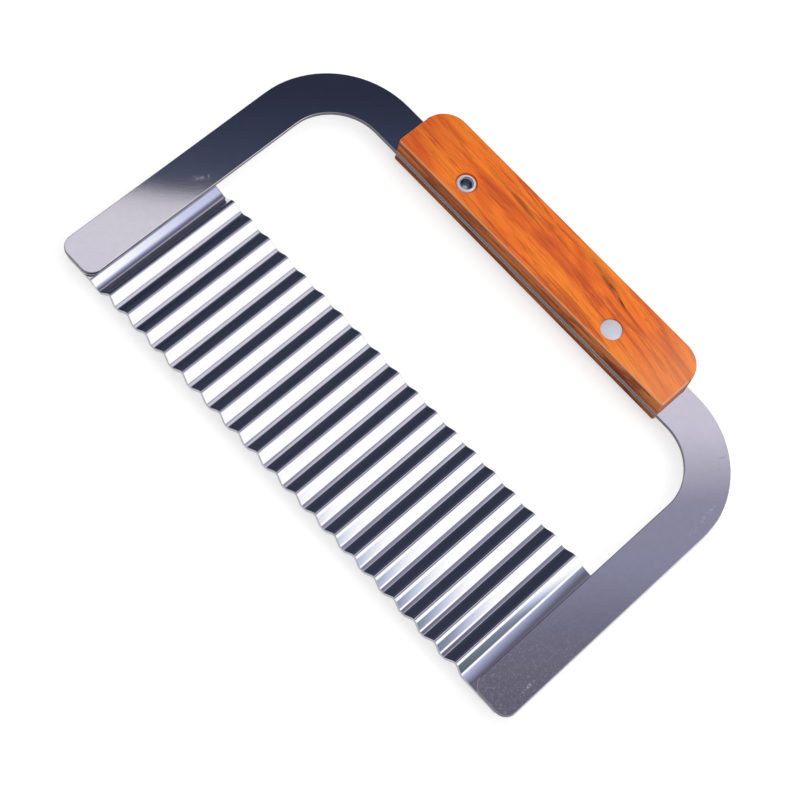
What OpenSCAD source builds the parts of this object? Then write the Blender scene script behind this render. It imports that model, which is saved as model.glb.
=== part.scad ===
// Wavy soap cutter: a C-shaped flat steel frame, a corrugated blade welded behind
// its two legs, and a wooden grip that is slotted over the frame and riveted.
// It lies on its back: +X runs along the blade, +Y from the cutting edge to the
// grip, and +Z out of the front of the frame. Millimetres throughout.

/* [Overall] */
// Width over the two legs
overall_w = 190; // [170:1:240]
// Height from the cutting edge to the top of the grip
overall_h = 121; // [100:0.5:160]

/* [Frame] */
// Width of the flat steel strip that the frame is cut as
strip_w = 14.1; // [12:0.1:18]
// Thickness of the frame
frame_t = 1.5; // [1:0.1:2.5]
// Outer radius of the two shoulders
shoulder_r = 31.5; // [20:0.5:40]
// Radius of the corners at the tips of the legs
tip_r = 4; // [1:0.1:6]

/* [Blade] */
// Height of the blade, from its cutting edge to its top edge
blade_h = 49.4; // [38:0.2:65]
// Thickness of the sheet
sheet_t = 0.8; // [0.5:0.05:1.2]
// Distance from one crest to the next
wave_pitch = 8.1; // [6.5:0.1:12]
// Height of the waves, crest to valley
wave_depth = 1.8; // [1:0.1:2.6]
// Middle radius of a crest
crest_r = 1.6; // [1:0.1:2.4]
// Middle radius of a valley
valley_r = 2.6; // [1:0.1:3.2]
// Least flat strip of sheet between a leg and the waves
flat_w = 3; // [1:0.5:8]
// How far each end of the blade reaches in behind its leg
blade_lap = 10; // [6:0.5:12]
// Angle of the ground cutting edge to the blade's plane
edge_angle = 72; // [50:1:85]
// Thickness that is left of the sheet at the cutting edge
edge_land = 0.15; // [0.1:0.05:0.4]

/* [Spot welds] */
// Spot welds at each end of the blade
welds = 3; // [2:1:5]
// Distance from the first and last weld to the blade's edges
weld_inset = 7; // [4:0.5:12]
// Width of the dimple that a weld leaves at the back
weld_d = 3.6; // [2:0.1:5]
// Depth of that dimple
weld_dent = 0.15; // [0.05:0.05:0.3]

/* [Grip] */
// Mean width of steel between an end of the grip and the frame's side
grip_inset = 38; // [34:0.5:50]
// How far the wood sits to the right of the frame's middle
grip_shift = 1.7; // [-3:0.1:3]
// Height of the grip
grip_h = 20.5; // [18:0.5:28]
// Thickness of the grip
grip_t = 11.5; // [9:0.5:18]
// How far the grip reaches past the outer edge of the steel
grip_rise = 7.5; // [4:0.5:14]
// Radius of the two corners on the palm side
palm_r = 8.5; // [3:0.5:9.5]
// Radius of the two corners on the blade side
foot_r = 0.8; // [0.8:0.1:3]
// Rounding of the long edges
edge_r = 0.5; // [0.3:0.1:0.7]
// Gap between the saw kerf and the steel, on each side
kerf_gap = 0.05; // [0.02:0.01:0.2]

/* [Rivets] */
// Distance between the two rivets
rivet_span = 63; // [36:0.5:80]
// Width of a rivet's head
head_d = 6.8; // [5.5:0.1:8]
// Thickness of the head, with its dome
head_h = 1; // [0.6:0.1:1.6]
// Height of the dome on the head
dome_h = 0.35; // [0.1:0.05:0.5]
// Width of the shank
shank_d = 4; // [3:0.1:5]
// Mouth of the funnel in the shank's hollow end
hollow_d = 3.2; // [2.2:0.1:3.4]
// Width at the bottom of the funnel
funnel_d = 1.6; // [0.8:0.1:2]
// Depth of the funnel
hollow_h = 3; // [2:0.5:6]
// Width of the end that is rolled over
roll_d = 6.4; // [5:0.1:7.5]
// Gap between a shank and the hole round it
shank_gap = 0.1; // [0.05:0.05:0.2]
// Gap between a head and the seat sunk in the wood
seat_gap = 0.1; // [0.05:0.05:0.3]

/* [Hidden] */
$fn = 64;
// Overlap that makes a cut run clean through
cut = 1;

// Places along Y, counted from the cutting edge
frame_h = overall_h - grip_rise;
tang_y = frame_h - strip_w;
grip_y = overall_h - grip_h;
rivet_y = tang_y + strip_w / 2;

// Places along Z: the frame lies in the middle of the grip, the blade behind it
frame_z = (grip_t - frame_t) / 2;
sheet_z = frame_z - sheet_t;
valley_z = sheet_z + sheet_t / 2;
crest_z = valley_z + wave_depth;

// Window between the legs, and the waves that fit across it
window_w = overall_w - 2 * strip_w;
crests = floor((window_w - 2 * flat_w) / wave_pitch);
waves_w = crests * wave_pitch;
blade_w = window_w + 2 * blade_lap;
first_crest = -(crests - 1) / 2 * wave_pitch;

// The straight flank is the inner tangent of the circles of a crest and a valley;
// half of each bend is drawn in bend_steps straight steps
half_pitch = wave_pitch / 2;
bend_r = crest_r + valley_r;
centre_gap = norm([half_pitch, bend_r - wave_depth]);
flank_angle = asin(bend_r / centre_gap) - atan2(bend_r - wave_depth, half_pitch);
bend_steps = 4;

grip_l = overall_w - 2 * grip_inset;
rivet_x = rivet_span / 2;
seat_d = head_d + 2 * seat_gap;
bore_d = shank_d + 2 * shank_gap;

steel = [0.62, 0.62, 0.68];
bright_steel = [0.8, 0.8, 0.84];
orange_wood = [0.88, 0.42, 0.13];
rivet_steel = [0.72, 0.73, 0.8];

// Everything is drawn from the cutting edge up and then centred along Y
module centred() {
    translate([0, -overall_h / 2, 0]) children();
}

// Rectangle on the X axis whose two top corners have the radius r
module round_shouldered(w, h, r) {
    translate([-w / 2, 0]) square([w, h - r]);
    translate([-w / 2 + r, 0]) square([w - 2 * r, h]);
    for (side = [-1, 1]) translate([side * (w / 2 - r), h - r]) circle(r);
}

// What rounding a corner at the origin takes away, for a solid that lies in +X +Y
module corner_nick(r) {
    difference() {
        translate([-cut, -cut]) square(r + cut);
        translate([r, r]) circle(r);
    }
}

// Flat outline of the frame: two legs and the tang that the grip covers
module frame_outline() {
    difference() {
        round_shouldered(overall_w, frame_h, shoulder_r);
        translate([0, -cut]) round_shouldered(window_w, tang_y + cut, shoulder_r - strip_w);
        for (side = [-1, 1]) {
            translate([side * overall_w / 2, 0]) scale([-side, 1]) corner_nick(tip_r);
            translate([side * window_w / 2, 0]) scale([side, 1]) corner_nick(tip_r);
        }
    }
}

module frame() {
    color(steel) centred() difference() {
        translate([0, 0, frame_z]) linear_extrude(frame_t) frame_outline();
        for (side = [-1, 1])
            translate([side * rivet_x, rivet_y, frame_z - cut]) cylinder(d = bore_d, h = frame_t + 2 * cut);
    }
}

// Half a bend: points at the radius r about the centre c, from angle a to angle b
function half_bend(c, r, a, b) = [
    for (i = [0:bend_steps])
        let (angle = a + (b - a) * i / bend_steps)
        c + r * [cos(angle), sin(angle)]
];

// All but the last point of a list, which the next stretch begins with
function but_last(points) = [for (i = [0:len(points) - 2]) points[i]];

// One wave with its crest at x, from left to right along the front of the sheet
// (out = 1) or along its back (out = -1); the flanks are the lines between the bends
function wave(x, out) =
    let (
        rest = 90 - flank_angle,
        crest = [x, crest_z - crest_r],
        valley = [x, valley_z + valley_r],
        outer_r = crest_r + out * sheet_t / 2,
        inner_r = valley_r - out * sheet_t / 2
    )
    concat(
        half_bend(valley - [half_pitch, 0], inner_r, 270, 360 - rest),
        but_last(half_bend(crest, outer_r, 180 - rest, 90)),
        half_bend(crest, outer_r, 90, rest),
        but_last(half_bend(valley + [half_pitch, 0], inner_r, 180 + rest, 270))
    );

// One face of the blade from end to end: the waves between the two flat ends
function blade_side(out) =
    let (z = valley_z + out * sheet_t / 2)
    concat(
        [[-blade_w / 2, z]],
        [for (i = [0:crests - 1]) each wave(first_crest + i * wave_pitch, out)],
        [[waves_w / 2, z], [blade_w / 2, z]]
    );

// Section of the blade across its waves: along the front and back along the back
module wave_section() {
    back = blade_side(-1);
    polygon(concat(blade_side(1), [for (i = [len(back) - 1:-1:0]) back[i]]));
}

// What grinding takes off the front of the cutting edge
module ground_edge() {
    rise = wave_depth + 2 * sheet_t;
    translate([-blade_w / 2 - cut, 0, sheet_z + edge_land]) rotate([90, 0, 90])
        linear_extrude(blade_w + 2 * cut)
            polygon([
                [-cut, -cut * tan(edge_angle)],
                [rise / tan(edge_angle), rise],
                [-cut, rise]
            ]);
}

// Dimples of the spot welds, in the middle of what lies behind each leg
module weld_dents() {
    weld_step = (blade_h - 2 * weld_inset) / (welds - 1);
    for (side = [-1, 1], i = [0:welds - 1])
        translate([side * (window_w + blade_lap) / 2, weld_inset + i * weld_step, sheet_z - cut])
            cylinder(d = weld_d, h = cut + weld_dent);
}

module wavy_blade() {
    color(bright_steel) centred() difference() {
        translate([0, blade_h, 0]) rotate([90, 0, 0]) linear_extrude(blade_h) wave_section();
        ground_edge();
        weld_dents();
    }
}

// Upright disc of the radius r whose two rims are rounded
module rounded_puck(r) {
    rotate_extrude($fn = 40) intersection() {
        union() {
            square([r - edge_r, grip_t]);
            translate([0, edge_r]) square([r, grip_t - 2 * edge_r]);
            for (z = [edge_r, grip_t - edge_r]) translate([r - edge_r, z]) circle(edge_r, $fn = 20);
        }
        square([r, grip_t]);
    }
}

module grip_block() {
    hull() for (side = [-1, 1]) {
        translate([side * (grip_l / 2 - palm_r), overall_h - palm_r, 0]) rounded_puck(palm_r);
        translate([side * (grip_l / 2 - foot_r), grip_y + foot_r, 0]) rounded_puck(foot_r);
    }
}

// Saw kerf that the frame slides into from the blade's side
module kerf() {
    kerf_h = frame_h + kerf_gap - grip_y;
    translate([-grip_l / 2 - cut, grip_y - cut, frame_z - kerf_gap])
        cube([grip_l + 2 * cut, kerf_h + cut, frame_t + 2 * kerf_gap]);
}

// Hole for a rivet, with a sunk seat at the front and at the back
module rivet_hole() {
    translate([0, 0, -cut]) cylinder(d = bore_d, h = grip_t + 2 * cut);
    for (z = [-cut, grip_t - head_h]) translate([0, 0, z]) cylinder(d = seat_d, h = head_h + cut);
}

module grip() {
    color(orange_wood) centred() difference() {
        translate([grip_shift, 0, 0]) difference() {
            grip_block();
            kerf();
        }
        for (side = [-1, 1]) translate([side * rivet_x, rivet_y, 0]) rivet_hole();
    }
}

// Part of a disc that stands on the X axis: the chord is w wide and h high
module chord_cap(w, h) {
    r = (pow(w / 2, 2) + pow(h, 2)) / (2 * h);
    intersection() {
        translate([0, h - r]) circle(r);
        translate([-w / 2, 0]) square([w, h]);
    }
}

// Half section of a semi-tubular rivet: its head is at the bottom, and its hollow
// end comes out at the top, flared by a funnel and rolled over onto the seat there
module rivet_section() {
    roll_w = (roll_d - hollow_d) / 2;
    seat_y = grip_t - head_h;
    difference() {
        union() {
            translate([0, dome_h]) square([head_d / 2, head_h - dome_h]);
            intersection() {
                translate([0, dome_h]) mirror([0, 1]) chord_cap(head_d, dome_h);
                translate([0, -cut]) square([head_d, head_h + cut]);
            }
            translate([0, dome_h]) square([shank_d / 2, seat_y - dome_h]);
            translate([hollow_d / 2 + roll_w / 2, seat_y]) chord_cap(roll_w, head_h);
        }
        polygon([
            [-cut, grip_t - hollow_h],
            [funnel_d / 2, grip_t - hollow_h],
            [hollow_d / 2, seat_y],
            [hollow_d / 2, grip_t + cut],
            [-cut, grip_t + cut]
        ]);
    }
}

module rivet() {
    rotate_extrude() rivet_section();
}

// The left rivet is put in from the back, so its rolled end shows at the front
module rivet_left() {
    color(rivet_steel) centred() translate([-rivet_x, rivet_y, 0]) rivet();
}

// The right rivet is put in from the front, so its head shows there
module rivet_right() {
    color(rivet_steel) centred() translate([rivet_x, rivet_y, grip_t]) rotate([180, 0, 0]) rivet();
}

frame();
wavy_blade();
grip();
rivet_left();
rivet_right();
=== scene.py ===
"""Wavy soap cutter: what the eye sees of it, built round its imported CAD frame.

Everything is in metres and in the CAD's own frame: +X runs along the blade, +Y from the
cutting edge to the grip, and +Z out of the front of the cutter, which lies on its back.
Each operator builds one piece, or a pair of like pieces, from the sizes and colours in
the scene's property groups. Shapes are grids of points worked out as whole arrays.
"""

import math

import bpy
import numpy as np
from bpy.props import FloatProperty, FloatVectorProperty, IntProperty, PointerProperty
from mathutils.geometry import tessellate_polygon
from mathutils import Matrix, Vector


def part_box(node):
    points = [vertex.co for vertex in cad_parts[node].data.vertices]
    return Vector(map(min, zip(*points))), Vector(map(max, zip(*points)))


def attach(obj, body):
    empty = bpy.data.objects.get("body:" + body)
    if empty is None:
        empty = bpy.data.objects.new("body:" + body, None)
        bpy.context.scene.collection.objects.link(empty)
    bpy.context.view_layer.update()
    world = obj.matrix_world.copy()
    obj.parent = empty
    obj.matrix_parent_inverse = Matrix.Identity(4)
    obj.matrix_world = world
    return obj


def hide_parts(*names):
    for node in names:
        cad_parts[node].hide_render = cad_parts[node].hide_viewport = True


bl_info = {
    "name": "Wavy Soap Cutter",
    "version": (1, 0, 0),
    "blender": (4, 5, 0),
    "location": "3D View > Sidebar > Soap Cutter",
    "description": "Builds a soap cutter with a corrugated blade, a steel frame and a wooden grip",
    "category": "Object",
}

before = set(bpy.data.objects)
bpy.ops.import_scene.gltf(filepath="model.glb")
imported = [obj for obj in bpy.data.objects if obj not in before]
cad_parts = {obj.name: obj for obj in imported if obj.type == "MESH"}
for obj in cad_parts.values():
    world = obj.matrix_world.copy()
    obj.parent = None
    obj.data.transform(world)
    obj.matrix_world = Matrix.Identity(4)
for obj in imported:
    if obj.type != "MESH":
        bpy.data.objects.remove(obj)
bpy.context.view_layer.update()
BODY = "root"

MM = 0.001
FRAME_LOW, FRAME_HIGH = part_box("frame")
BLADE_LOW, BLADE_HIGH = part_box("wavy_blade")
GRIP_LOW, GRIP_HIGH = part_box("grip")
RIVET_X, RIVET_Y, _ = (sum(pair) / 2 for pair in zip(*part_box("rivet_right")))
RIVET_LOW, RIVET_HIGH = GRIP_LOW.z, GRIP_HIGH.z
BORES = [(-RIVET_X, RIVET_Y), (RIVET_X, RIVET_Y)]

# Slopes in the blade's strips beside the legs: millimetres from the leg, degrees
LEFT_BENDS = ((0.0, -15.5), (2.3, -15.5), (5.0, 0.0), (6.6, 18.0), (8.6, 0.0))
RIGHT_BENDS = ((0.0, 0.0), (1.0, -2.5), (3.6, -6.5), (5.0, -6.5), (6.5, 0.0), (8.3, 13.0), (10.3, 0.0))
# Where the sway of the waves is worked out from: the outermost crests' distance from the middle
SWAY_SPAN = 77 * MM
# How far towards a face of the sheet the edge land may lie, as a share of half its thickness
LAND_REACH = 0.94

# What steel mirrors in the studio, by how far a direction points along ACROSS: the walls
# and the ceiling up to the edge of the dark part of the room, and what lies past it. Each
# stop is a value with its red, green and blue
ACROSS = (-1.0, 1.0, 0.0)
MIRROR_GAIN = 1.3
DARK_FROM = (0.6525, 0.6635)
STUDIO_WALLS = (
    (-0.56, 0.11, 0.13, 0.17),
    (-0.51, 0.195, 0.227, 0.296),
    (-0.502, 0.352, 0.392, 0.565),
    (-0.494, 0.515, 0.558, 0.753),
    (-0.475, 1.0, 1.0, 1.0),
    (0.1, 1.0, 1.0, 1.0),
    (0.15, 0.552, 0.565, 0.812),
    (0.2, 0.371, 0.381, 0.584),
    (0.25, 0.258, 0.266, 0.397),
    (0.29, 0.178, 0.188, 0.266),
    (0.325, 0.107, 0.112, 0.156),
    (0.358, 0.125, 0.114, 0.162),
    (0.402, 0.159, 0.15, 0.216),
    (0.442, 0.235, 0.24, 0.345),
    (0.481, 0.262, 0.25, 0.347),
    (0.505, 0.43, 0.415, 0.513),
    (0.524, 0.575, 0.55, 0.66),
    (0.63, 0.62, 0.593, 0.68),
    (0.645, 0.6, 0.575, 0.66),
    (0.665, 0.4, 0.385, 0.44),
)
STUDIO_DARK = (
    (0.65, 0.072, 0.078, 0.122),
    (0.666, 0.072, 0.078, 0.122),
    (0.674, 0.052, 0.06, 0.104),
    (0.7, 0.032, 0.038, 0.07),
    (0.722, 0.0235, 0.0265, 0.05),
    (0.85, 0.042, 0.048, 0.078),
    (1.02, 0.06, 0.066, 0.104),
    (1.12, 0.036, 0.041, 0.068),
    (1.28, 0.027, 0.032, 0.054),
    (1.36, 0.06, 0.06, 0.08),
    (1.42, 0.5, 0.5, 0.55),
)
# The rest of the studio, by height, and the Y at which that room gives way to it on each side
FAR_SIDE = (0.5, 0.6)
NEAR_SIDE = (0.24, 0.1)
STUDIO_SIDES = (
    (0.0, 0.95, 0.95, 0.97),
    (0.2, 0.62, 0.62, 0.67),
    (0.45, 0.46, 0.46, 0.51),
    (0.6, 0.3, 0.3, 0.35),
    (0.75, 0.12, 0.125, 0.16),
    (1.0, 0.3, 0.3, 0.35),
)

# Lamps: name, share of the key lamp's power, width and place in metres
LAMPS = (
    ("key_lamp", 1.0, 1.6, (-0.1, 0.45, 0.95)),
    ("side_lamp", 0.35, 0.7, (0.75, 0.1, 0.7)),
)
# How far the floor lies under the cutter
FLOOR_GAP = 5e-5
# Where the photograph was taken from, in metres, and its turn about X, Y and Z
CAMERA_AT = (0.11779, -0.24501, 0.57940)
CAMERA_TURN = tuple(math.radians(degrees) for degrees in (22.350, -8.755, 46.429))

# The wood's noises: grains per metre along each axis, detail, roughness and distortion
WOOD_NOISES = {
    "tones": ((20.0, 110.0, 90.0), 3.0, 0.6, 0.6),
    "streaks": ((40.0, 520.0, 520.0), 5.0, 0.7, 0.4),
    "fibres": ((110.0, 2300.0, 2300.0), 3.0, 0.65, 0.0),
    "pores": ((240.0, 4200.0, 4200.0), 1.0, 0.55, 0.0),
}
# What covers the middle wood, in order: noise, where it starts and ends, how far it covers, colour
WOOD_LAYERS = (
    ("tones", 0.4, 0.66, 1.0, "light"),
    ("tones", 0.5, 0.3, 0.7, "dark"),
    ("streaks", 0.47, 0.66, 0.75, "dark"),
    ("fibres", 0.42, 0.72, 0.35, "dark"),
)
# How fast the grain bends to the foot where X is positive, and how it is turned, in degrees
GRAIN_SAG = 1.5
GRAIN_TURN = (0.0, 1.5, 2.5)

# Dark marks in the grip's front: x, y, half length, half width in millimetres, degrees, depth
GRIP_MARKS = (
    (11.0, 58.2, 7.0, 1.7, -8.0, 0.45),
    (14.0, 57.7, 4.0, 0.8, -12.0, 1.0),
    (20.0, 56.7, 8.0, 1.5, -10.0, 1.2),
    (19.0, 57.9, 6.5, 0.6, -8.0, 0.9),
    (27.0, 54.8, 4.0, 0.55, -18.0, 1.2),
    (-15.0, 54.2, 10.0, 1.4, -9.0, 0.5),
    (-27.0, 55.5, 9.0, 1.6, -6.0, 0.3),
    (36.1, 56.3, 1.1, 0.45, -10.0, 0.6),
    (42.0, 57.5, 2.0, 0.4, 0.0, 0.4),
)

# Scuffs on the frame's front: x, y, half length, half width in millimetres, degrees, strength
FRAME_SCUFFS = (
    (-85.4, -13.6, 4.6, 1.8, 62.0, 0.4),
    (81.4, 44.6, 1.6, 0.9, 60.0, 1.0),
    (82.8, 41.2, 2.4, 1.2, 50.0, 1.0),
    (77.1, 33.8, 2.6, 0.8, 95.0, 1.0),
    (90.9, 27.6, 6.0, 1.1, 100.0, 1.0),
    (91.8, 21.5, 3.4, 1.6, 95.0, 1.0),
    (92.0, -48.4, 6.8, 0.8, 94.0, 1.0),
    (91.5, -32.2, 2.6, 0.5, 92.0, 1.0),
)

# Heights of the surfaces' grain, in metres
PIT_DEPTH = 2.2e-6
RIPPLE_DEPTH = 1.6e-5
GRINDING_DEPTH = 2e-6
FIBRE_HEIGHT = 1.4e-5
PORE_DEPTH = 2e-5
# How much haze roughens polished metal, and how much its tone darkens it
HAZE_ROUGHNESS = 0.3
TONE_DEPTH = 0.12

# Points closer than this are one point when a piece's patches are joined
WELD_GAP = 1e-8
# Edges sharper than this angle, in degrees, are shaded as edges
CREASE = 35.0
# Steps of a quarter circle in an outline, steps round a hole or a rivet, points across the
# blade (a valley's bend, a crest, a flat strip, a weld and the top edge) and points along a
# rivet's dome and roll
CORNER_STEPS = 20
ROUND_STEPS = 64
BEND_STEPS = 11
CREST_STEPS = 25
STRIP_STEPS = 60
WELD_STEPS = 11
TOP_STEPS = 4
DOME_STEPS = 12
ROLL_STEPS = 17
# Radius of the flat disc in the middle of a dome and of a funnel, as a share of the head's
DISC_SHARE = 0.02


# ---------------------------------------------------------------- properties


def length(name, description, mm):
    """A size, given in millimetres and kept in metres."""
    return FloatProperty(
        name=name, description=description, default=mm * MM, min=0.0, unit="LENGTH", precision=5
    )


def angle(name, description, degrees):
    """An angle, given in degrees and kept in radians."""
    return FloatProperty(
        name=name, description=description, default=math.radians(degrees), subtype="ANGLE"
    )


def share(name, description, value):
    """A number from 0 to 1."""
    return FloatProperty(
        name=name, description=description, default=value, min=0.0, max=1.0, subtype="FACTOR"
    )


def colour(name, description, value):
    """A colour in linear light, without its alpha."""
    return FloatVectorProperty(
        name=name, description=description, default=value, min=0.0, max=1.0, size=3, subtype="COLOR"
    )


def vector(name, description, value, subtype):
    """A place in metres, or a turn in radians."""
    return FloatVectorProperty(
        name=name, description=description, default=value, size=3, subtype=subtype, precision=5
    )


class SteelFrameSettings(bpy.types.PropertyGroup):
    strip_w: length("Strip width", "Width of the flat strip that the frame is cut as", 14.1)
    shoulder_r: length("Shoulder radius", "Outer radius of the two shoulders", 31.5)
    tip_r: length("Tip radius", "Radius of the corners at the tips of the legs", 4.0)
    edge_r: length("Edge rounding", "Rounding that polishing leaves on the edges", 0.22)
    bore_d: length("Rivet hole", "Width of the holes that the rivets go through", 4.2)
    steel: colour("Steel", "Colour of the polished steel", (0.8, 0.8, 0.8))
    # Partly painted shade: the sheared edges are ground steel, duller than the polished faces, and their
    # dark tint, far darker than steel, is painted shade
    shaded_cut_edge: colour("Cut edge", "Colour of the sheared edges", (0.15, 0.135, 0.15))
    roughness: share("Roughness", "How much the polish blurs what it mirrors", 0.03)


class WavyBladeSettings(bpy.types.PropertyGroup):
    sheet_t: length("Sheet thickness", "Thickness of the sheet", 0.8)
    wave_pitch: length("Wave pitch", "Distance from one crest to the next", 8.1)
    wave_depth: length("Wave depth", "Height of the waves, crest to valley", 1.8)
    crest_r: length("Crest radius", "Middle radius of a crest", 1.6)
    valley_r: length("Valley radius", "Middle radius of the two bends of a valley", 1.6)
    valley_flat: length("Valley floor", "Width of the flat floor of a valley", 0.8)
    sway: length("Sway", "How far the pressing left the middle waves towards -X", 0.65)
    flat_w: length("Flat strip", "Least flat strip between a leg and the waves", 3.0)
    blade_lap: length("Overlap", "How far each end reaches in behind its leg", 10.0)
    edge_angle: angle("Grinding angle", "Angle of the ground edge to the blade's plane", 72.0)
    edge_land: length("Edge land", "Thickness left at the cutting edge", 0.15)
    top_r: length("Top rounding", "Rounding of the top edge", 0.14)
    welds: IntProperty(name="Spot welds", description="Spot welds at each end", default=3, min=2)
    weld_inset: length("Weld inset", "Distance from the end welds to the blade's edges", 7.0)
    weld_d: length("Weld width", "Width of the dimple that a weld leaves at the back", 3.6)
    weld_dent: length("Weld depth", "Depth of that dimple", 0.15)
    steel: colour("Steel", "Colour of the bright sheet", (0.82, 0.82, 0.83))
    ground: colour("Ground steel", "Colour of the ground cutting edge", (0.5, 0.5, 0.54))
    roughness: share("Roughness", "How much the sheet blurs what it mirrors", 0.05)


class WoodGripSettings(bpy.types.PropertyGroup):
    palm_r: length("Palm radius", "Radius of the two corners on the palm side", 8.5)
    foot_r: length("Foot radius", "Radius of the two corners on the blade side", 0.8)
    edge_r: length("Edge rounding", "Rounding of the long edges", 0.5)
    kerf_gap: length("Kerf gap", "Gap between the saw kerf and the steel", 0.05)
    bore_d: length("Rivet hole", "Width of the holes for the rivets' shanks", 4.2)
    seat_d: length("Rivet seat", "Width of the seat that a rivet's head is sunk in", 7.0)
    seat_h: length("Seat depth", "Depth of that seat", 1.0)
    light: colour("Light wood", "Early wood", (0.98, 0.25, 0.014))
    middle: colour("Middle wood", "What most of the grip shows", (0.9, 0.165, 0.01))
    dark: colour("Dark wood", "Late wood and streaks", (0.46, 0.048, 0.008))
    pore: colour("Pores", "Open pores and the knot", (0.11, 0.016, 0.008))
    sawn: colour("Sawn foot", "The bare foot on both sides of the kerf", (0.8, 0.24, 0.075))
    sawn_dark: colour("Sawn streaks", "Dark streaks in the bare foot", (0.3, 0.07, 0.03))
    # Painted shade: the dark colour laid on the sawn foot below the frame, where the kerf and the floor
    # shade it
    painted_kerf_shade: colour("Kerf shade", "Grime in and behind the kerf", (0.05, 0.014, 0.01))
    end_grain: colour("End grain", "The two sawn ends", (0.85, 0.3, 0.17))
    # Painted highlight: the right end of the front is blended towards this paler colour, where the varnish
    # catches the light
    pale: colour("Pale wood", "Wood of the lighter right end", (1.0, 0.4, 0.16))
    # Painted highlight: a pale colour on the front's edges beside the foot and the right end, where the
    # varnish catches the light
    edge_highlight_paint: colour("Worn edges", "Edges of the front that wear has made pale", (0.85, 0.42, 0.22))


class RivetSettings(bpy.types.PropertyGroup):
    head_d: length("Head width", "Width of a rivet's head", 6.8)
    head_h: length("Head thickness", "Thickness of the head, with its dome", 1.0)
    dome_h: length("Dome height", "Height of the dome on the head", 0.35)
    shank_d: length("Shank width", "Width of the shank", 4.0)
    hollow_d: length("Funnel mouth", "Mouth of the funnel in the hollow end", 3.2)
    funnel_d: length("Funnel end", "Width at the bottom of the funnel", 1.6)
    hollow_h: length("Funnel depth", "Depth of the funnel", 3.0)
    roll_d: length("Rolled width", "Width of the end that is rolled over", 6.4)
    metal: colour("Metal", "Colour of the rivets", (0.9, 0.89, 0.96))
    metallic: share("Metallic", "How much the rivets mirror like bare metal", 0.5)
    roughness: share("Roughness", "How much the rivets blur what they mirror", 0.32)
    # Painted shade: the funnel's metal is darker than the head's, standing in for the shade deep in the
    # hollow
    funnel: colour("Funnel metal", "Colour inside the funnel, which stays dull", (0.42, 0.43, 0.52))
    funnel_roughness: share("Funnel roughness", "How much the funnel blurs what it mirrors", 0.3)


class StudioSettings(bpy.types.PropertyGroup):
    camera_at: vector("Camera place", "Where the camera stands", CAMERA_AT, "TRANSLATION")
    camera_turn: vector("Camera turn", "How the camera is turned", CAMERA_TURN, "EULER")
    focal_length: FloatProperty(
        name="Focal length", description="In millimetres, on a 36 mm sensor", default=96.64
    )
    floor_w: length("Floor width", "Width of the pale floor", 6000.0)
    floor: colour("Floor", "Colour of the pale floor", (0.6, 0.6, 0.6))
    glow: share("Floor glow", "Light that the floor adds for the camera and for mirrors", 0.55)
    fill: FloatProperty(name="Fill", description="Even light from all round", default=0.5, min=0.0)
    key: FloatProperty(name="Key", description="Power of the main lamp in watts", default=6.5, min=0.0)


# ------------------------------------------------------------------- meshes


def ring_faces(rows, columns):
    """Quads between the points of a grid that is numbered row by row, each row a closed ring.

    Seen from where rows run to the right and columns run up, the quads turn clockwise.
    """
    i, j = np.arange(rows - 1)[:, None], np.arange(columns)[None, :]
    k = (j + 1) % columns
    return np.stack(
        [i * columns + j, i * columns + k, (i + 1) * columns + k, (i + 1) * columns + j], -1
    ).reshape(-1, 4)


def new_object(name, data):
    """An object in the scene, with its mesh, lamp or camera."""
    made = bpy.data.objects.new(name, data)
    bpy.context.scene.collection.objects.link(made)
    return made


def make_piece(name, patches, materials):
    """One mesh out of patches, each of them (points, faces, smooth, material index).

    Points of different patches that coincide become one point, so the seams are closed.
    """
    points = np.concatenate([patch[0] for patch in patches])
    _, first, same = np.unique(
        np.round(points / WELD_GAP).astype(np.int64), axis=0, return_index=True, return_inverse=True
    )
    same = same.reshape(-1)
    faces, smooth, index, start = [], [], [], 0
    for patch_points, patch_faces, is_smooth, material_index in patches:
        faces += same[patch_faces + start].tolist()
        smooth += [is_smooth] * len(patch_faces)
        index += [material_index] * len(patch_faces)
        start += len(patch_points)
    mesh = bpy.data.meshes.new(name)
    mesh.from_pydata(points[first], [], faces)
    for material in materials:
        mesh.materials.append(material)
    mesh.set_sharp_from_angle(angle=math.radians(CREASE))
    mesh.polygons.foreach_set("use_smooth", smooth)
    mesh.polygons.foreach_set("material_index", index)
    if mesh.validate():
        raise RuntimeError(f"{name}: its mesh had faces that don't hold")
    return new_object(name, mesh)


def stand_in(piece, node):
    """Puts a finished piece in the place of a CAD node."""
    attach(piece, BODY)
    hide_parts(node)


def square_loop(corners, radii, inset):
    """Counter-clockwise outline whose corners are square, each drawn as a quarter circle.

    With a and b the unit steps from a corner P to the corners before and after it, the arc
    is P + r(1 - sin t)a + r(1 - cos t)b for t from 0 to 90 degrees. An inset moves P along
    a + b into the solid, and takes itself off r at a corner that points out or adds itself
    to r at one that points in.
    """
    corners = np.asarray(corners, float)
    a = np.roll(corners, 1, axis=0) - corners
    b = np.roll(corners, -1, axis=0) - corners
    a /= np.linalg.norm(a, axis=1)[:, None]
    b /= np.linalg.norm(b, axis=1)[:, None]
    turn = np.sign(a[:, 1] * b[:, 0] - a[:, 0] * b[:, 1])
    corner = (corners + (turn * inset)[:, None] * (a + b))[:, None]
    r = (np.asarray(radii) - turn * inset)[:, None, None]
    t = np.linspace(0, math.pi / 2, CORNER_STEPS + 1)[None, :, None]
    arcs = corner + r * ((1 - np.sin(t)) * a[:, None] + (1 - np.cos(t)) * b[:, None])
    return arcs.reshape(-1, 2)


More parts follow.
